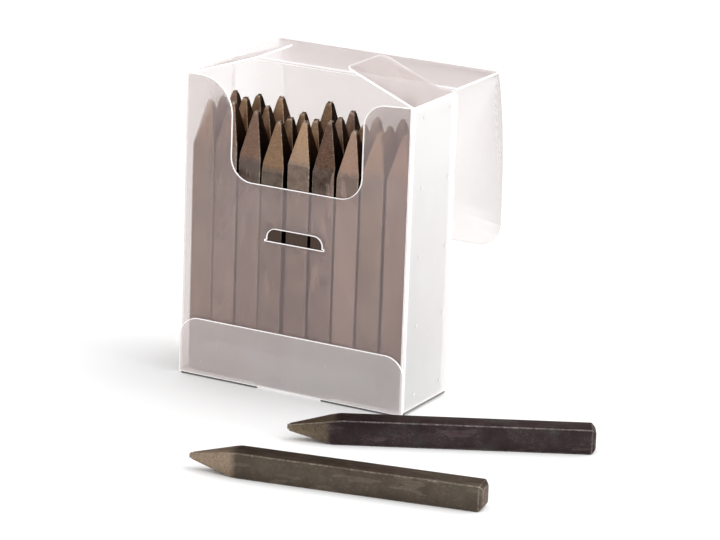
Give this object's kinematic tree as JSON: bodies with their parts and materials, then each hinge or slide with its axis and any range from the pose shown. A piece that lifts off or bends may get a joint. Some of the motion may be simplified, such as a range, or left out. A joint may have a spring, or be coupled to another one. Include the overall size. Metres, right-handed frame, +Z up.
{
  "type": "stamping tool",
  "caption": "Set of square steel letter punches for stamping leather, in a frosted folding carton with a hinged lid, a finger scoop and dust flaps; two punches lie out.",
  "frame": {"origin": "middle of the carton's underside, where it stands on the table", "axes": "+Z up along the standing punches, -Y out of the carton's scooped front, +X towards its welded right side"},
  "size_m": [0.117, 0.1144, 0.0868],
  "materials": {
    "frosted_sheet": "frosted translucent polypropylene",
    "sheet_fold": "whitened living hinge",
    "punch_steel": "blackened bar with ground tapers"
  },
  "bodies": {
    "carton": {"front_panel": "frosted_sheet", "back_panel": "frosted_sheet", "left_side_panel": "frosted_sheet", "right_side_panel": "frosted_sheet", "seam_flap": "frosted_sheet", "seam_spot_welds": "sheet_fold", "front_left_fold": "sheet_fold", "front_right_fold": "sheet_fold", "back_left_fold": "sheet_fold", "back_right_fold": "sheet_fold", "bottom_panel": "frosted_sheet", "bottom_back_fold": "sheet_fold", "bottom_front_fold": "sheet_fold", "bottom_front_flap": "frosted_sheet", "bottom_left_flap": "frosted_sheet", "bottom_left_fold": "sheet_fold", "bottom_right_flap": "frosted_sheet", "bottom_right_fold": "sheet_fold"},
    "lid": {"lid_panel": "frosted_sheet", "lid_fold": "sheet_fold"},
    "lid_flap": {"lid_front_flap": "frosted_sheet", "lid_flap_fold": "sheet_fold"},
    "left_dust": {"left_dust_flap": "frosted_sheet", "left_dust_fold": "sheet_fold"},
    "right_dust": {"right_dust_flap": "frosted_sheet", "right_dust_fold": "sheet_fold"},
    "punch_a_body": {"punch_a": "punch_steel"},
    "punch_b_body": {"punch_b": "punch_steel"},
    "punch_c_body": {"punch_c": "punch_steel"},
    "punch_d_body": {"punch_d": "punch_steel"},
    "punch_e_body": {"punch_e": "punch_steel"},
    "punch_f_body": {"punch_f": "punch_steel"},
    "punch_g_body": {"punch_g": "punch_steel"},
    "punch_h_body": {"punch_h": "punch_steel"},
    "punch_i_body": {"punch_i": "punch_steel"},
    "punch_j_body": {"punch_j": "punch_steel"},
    "punch_k_body": {"punch_k": "punch_steel"},
    "punch_l_body": {"punch_l": "punch_steel"},
    "punch_m_body": {"punch_m": "punch_steel"},
    "punch_n_body": {"punch_n": "punch_steel"},
    "punch_o_body": {"punch_o": "punch_steel"},
    "punch_p_body": {"punch_p": "punch_steel"},
    "punch_q_body": {"punch_q": "punch_steel"},
    "punch_r_body": {"punch_r": "punch_steel"},
    "punch_s_body": {"punch_s": "punch_steel"},
    "punch_t_body": {"punch_t": "punch_steel"},
    "punch_u_body": {"punch_u": "punch_steel"},
    "punch_v_body": {"punch_v": "punch_steel"},
    "punch_w_body": {"punch_w": "punch_steel"},
    "punch_x_body": {"punch_x": "punch_steel"},
    "punch_y_body": {"punch_y": "punch_steel"},
    "punch_z_body": {"punch_z": "punch_steel"},
    "punch_ampersand_body": {"punch_ampersand": "punch_steel"}
  },
  "joints": [
    {"name": "lid_hinge", "type": "hinge", "parent": "carton", "child": "lid", "pos_m": [0, 0.01124, 0.07956], "axis": [-1, 0, 0], "range_deg": [-180, 20]},
    {"name": "lid_flap_hinge", "type": "hinge", "parent": "lid", "child": "lid_flap", "pos_m": [0, 0.03453, 0.07956], "axis": [-1, 0, 0], "range_deg": [-173.5, 8]},
    {"name": "left_dust_hinge", "type": "hinge", "parent": "carton", "child": "left_dust", "pos_m": [-0.03224, 0, 0.07866], "axis": [0, -1, 0], "range_deg": [-19, 2.21]},
    {"name": "right_dust_hinge", "type": "hinge", "parent": "carton", "child": "right_dust", "pos_m": [0.03224, 0, 0.07866], "axis": [0, 1, 0], "range_deg": [-22, 2.54]},
    {"name": "punch_a_lift", "type": "slide", "parent": "carton", "child": "punch_a_body", "axis": [0, 0, 1], "range_m": [0, 0.007]},
    {"name": "punch_b_lift", "type": "slide", "parent": "carton", "child": "punch_b_body", "axis": [0, 0, 1], "range_m": [0, 0.008]},
    {"name": "punch_c_lift", "type": "slide", "parent": "carton", "child": "punch_c_body", "axis": [0, 0, 1], "range_m": [0, 0.012]},
    {"name": "punch_d_lift", "type": "slide", "parent": "carton", "child": "punch_d_body", "axis": [0, 0, 1], "range_m": [0, 0.085]},
    {"name": "punch_e_lift", "type": "slide", "parent": "carton", "child": "punch_e_body", "axis": [0, 0, 1], "range_m": [0, 0.085]},
    {"name": "punch_f_lift", "type": "slide", "parent": "carton", "child": "punch_f_body", "axis": [0, 0, 1], "range_m": [0, 0.085]},
    {"name": "punch_g_lift", "type": "slide", "parent": "carton", "child": "punch_g_body", "axis": [0, 0, 1], "range_m": [0, 0.014]},
    {"name": "punch_h_lift", "type": "slide", "parent": "carton", "child": "punch_h_body", "axis": [0, 0, 1], "range_m": [0, 0.011]},
    {"name": "punch_i_lift", "type": "slide", "parent": "carton", "child": "punch_i_body", "axis": [0, 0, 1], "range_m": [0, 0.007]},
    {"name": "punch_j_lift", "type": "slide", "parent": "carton", "child": "punch_j_body", "axis": [0, 0, 1], "range_m": [0, 0.007]},
    {"name": "punch_k_lift", "type": "slide", "parent": "carton", "child": "punch_k_body", "axis": [0, 0, 1], "range_m": [0, 0.009]},
    {"name": "punch_l_lift", "type": "slide", "parent": "carton", "child": "punch_l_body", "axis": [0, 0, 1], "range_m": [0, 0.012]},
    {"name": "punch_m_lift", "type": "slide", "parent": "carton", "child": "punch_m_body", "axis": [0, 0, 1], "range_m": [0, 0.085]},
    {"name": "punch_n_lift", "type": "slide", "parent": "carton", "child": "punch_n_body", "axis": [0, 0, 1], "range_m": [0, 0.085]},
    {"name": "punch_o_lift", "type": "slide", "parent": "carton", "child": "punch_o_body", "axis": [0, 0, 1], "range_m": [0, 0.085]},
    {"name": "punch_p_lift", "type": "slide", "parent": "carton", "child": "punch_p_body", "axis": [0, 0, 1], "range_m": [0, 0.015]},
    {"name": "punch_q_lift", "type": "slide", "parent": "carton", "child": "punch_q_body", "axis": [0, 0, 1], "range_m": [0, 0.011]},
    {"name": "punch_r_lift", "type": "slide", "parent": "carton", "child": "punch_r_body", "axis": [0, 0, 1], "range_m": [0, 0.08]},
    {"name": "punch_s_lift", "type": "slide", "parent": "carton", "child": "punch_s_body", "axis": [0, 0, 1], "range_m": [0, 0.007]},
    {"name": "punch_t_lift", "type": "slide", "parent": "carton", "child": "punch_t_body", "axis": [0, 0, 1], "range_m": [0, 0.009]},
    {"name": "punch_u_lift", "type": "slide", "parent": "carton", "child": "punch_u_body", "axis": [0, 0, 1], "range_m": [0, 0.011]},
    {"name": "punch_v_lift", "type": "slide", "parent": "carton", "child": "punch_v_body", "axis": [0, 0, 1], "range_m": [0, 0.085]},
    {"name": "punch_w_lift", "type": "slide", "parent": "carton", "child": "punch_w_body", "axis": [0, 0, 1], "range_m": [0, 0.085]},
    {"name": "punch_x_lift", "type": "slide", "parent": "carton", "child": "punch_x_body", "axis": [0, 0, 1], "range_m": [0, 0.085]},
    {"name": "punch_y_lift", "type": "slide", "parent": "carton", "child": "punch_y_body", "axis": [0, 0, 1], "range_m": [0, 0.014]},
    {"name": "punch_z_lift", "type": "slide", "parent": "carton", "child": "punch_z_body", "axis": [0, 0, 1], "range_m": [0, 0.011]},
    {"name": "punch_ampersand_lift", "type": "slide", "parent": "carton", "child": "punch_ampersand_body", "axis": [0, 0, 1], "range_m": [0, 0.08]}
  ],
  "couplings": [
    {"joint": "left_dust_hinge", "follows": "lid_hinge", "ratio": 0.10555},
    {"joint": "right_dust_hinge", "follows": "lid_hinge", "ratio": 0.12222}
  ]
}
